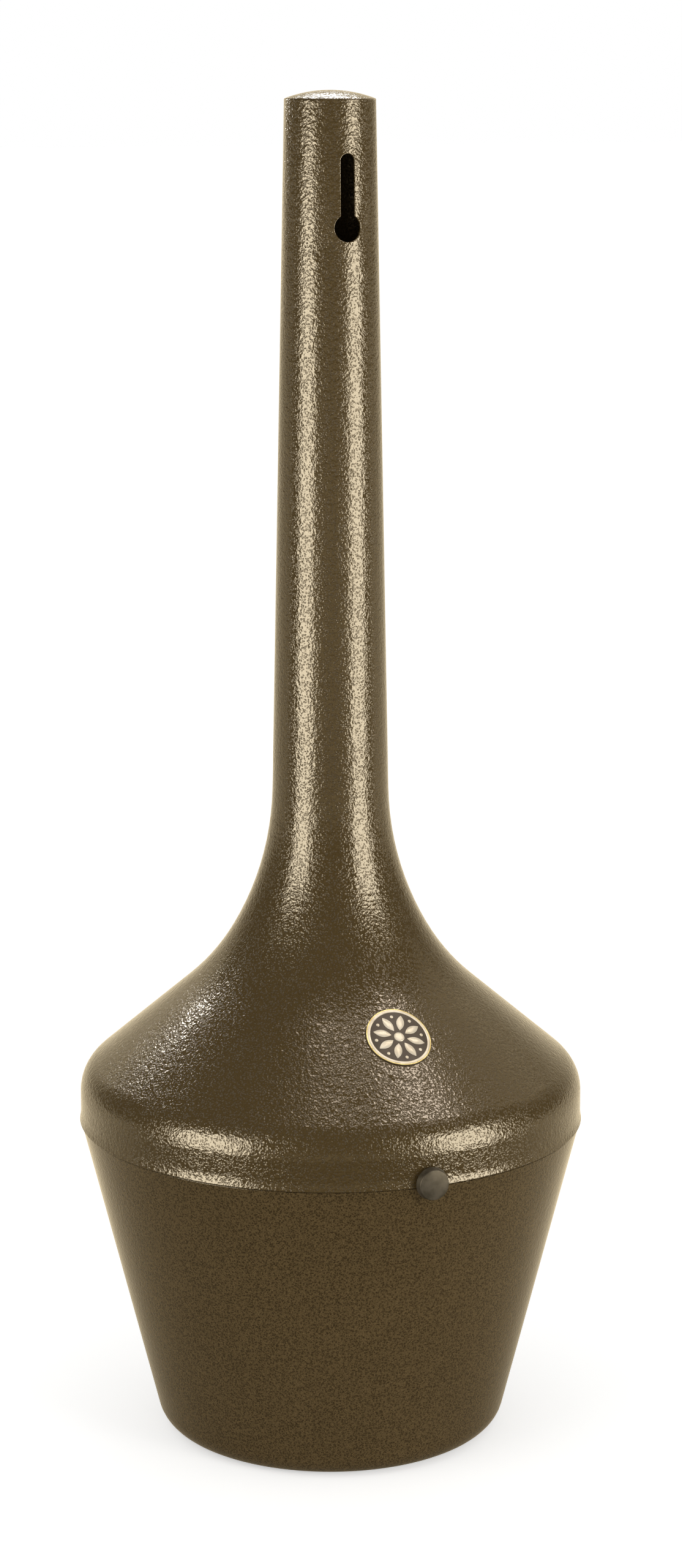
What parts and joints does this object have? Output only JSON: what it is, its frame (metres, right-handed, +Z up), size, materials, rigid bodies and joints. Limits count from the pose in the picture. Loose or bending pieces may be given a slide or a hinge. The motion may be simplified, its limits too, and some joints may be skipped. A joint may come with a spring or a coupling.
{
  "type": "ashtray bin",
  "caption": "Free-standing ashtray bin: tapered base, lift-off hood drawn up into a tall slotted neck, removable galvanised liner with bail, clamp knob at the front.",
  "frame": {"origin": "centre of the underside, where the upright axis of the bin meets the ground", "axes": "+Z up along the axis of the neck; -Y is the front, with the slot, the badge and the clamp knob; +X to the right of a person who stands in front of the bin and faces it"},
  "size_m": [0.3786, 0.3865, 1],
  "materials": {
    "bronze_coating": "dark bronze hammered powder coat, semi-gloss",
    "badge_enamel": "printed thin plate, cream gold rings on a dark field",
    "knob_bronze": "smooth satin dark bronze",
    "galvanised_sheet": "spangled galvanised sheet",
    "zinc_plate": "bright zinc plate"
  },
  "bodies": {
    "base": {"base_shell": "bronze_coating", "clamp_nut": "zinc_plate"},
    "head": {"hood": "bronze_coating", "neck_tube": "bronze_coating", "neck_cap": "bronze_coating", "badge": "badge_enamel"},
    "washer": {"clamp_washer": "zinc_plate"},
    "knob": {"clamp_knob": "knob_bronze", "clamp_stud": "zinc_plate"},
    "liner": {"liner_wall": "galvanised_sheet", "liner_bottom": "galvanised_sheet", "liner_rim_wire": "zinc_plate", "liner_ear_right": "galvanised_sheet", "liner_ear_left": "galvanised_sheet", "ear_rivets": "zinc_plate"},
    "bail": {"bail": "zinc_plate"}
  },
  "joints": [
    {"name": "head_lift", "type": "slide", "parent": "base", "child": "head", "axis": [0, 0, 1], "range_m": [0, 0.46]},
    {"name": "liner_lift", "type": "slide", "parent": "base", "child": "liner", "axis": [0, 0, 1], "range_m": [0, 0.23]},
    {"name": "bail_swing", "type": "hinge", "parent": "liner", "child": "bail", "pos_m": [0, 0, 0.21], "axis": [1, 0, 0], "range_deg": [0, 90]},
    {"name": "washer_travel", "type": "slide", "parent": "base", "child": "washer", "axis": [0, -1, 0], "range_m": [0, 0.004]},
    {"name": "knob_turn", "type": "hinge", "parent": "washer", "child": "knob", "pos_m": [0, -0.19, 0.2435], "axis": [0, -1, 0], "range_deg": [0, 1440]}
  ],
  "couplings": [
    {"joint": "liner_lift", "follows": "head_lift", "ratio": 0.5},
    {"joint": "bail_swing", "follows": "head_lift", "rad_per_m": 3.41},
    {"joint": "knob_turn", "follows": "washer_travel", "rad_per_m": 6283}
  ]
}
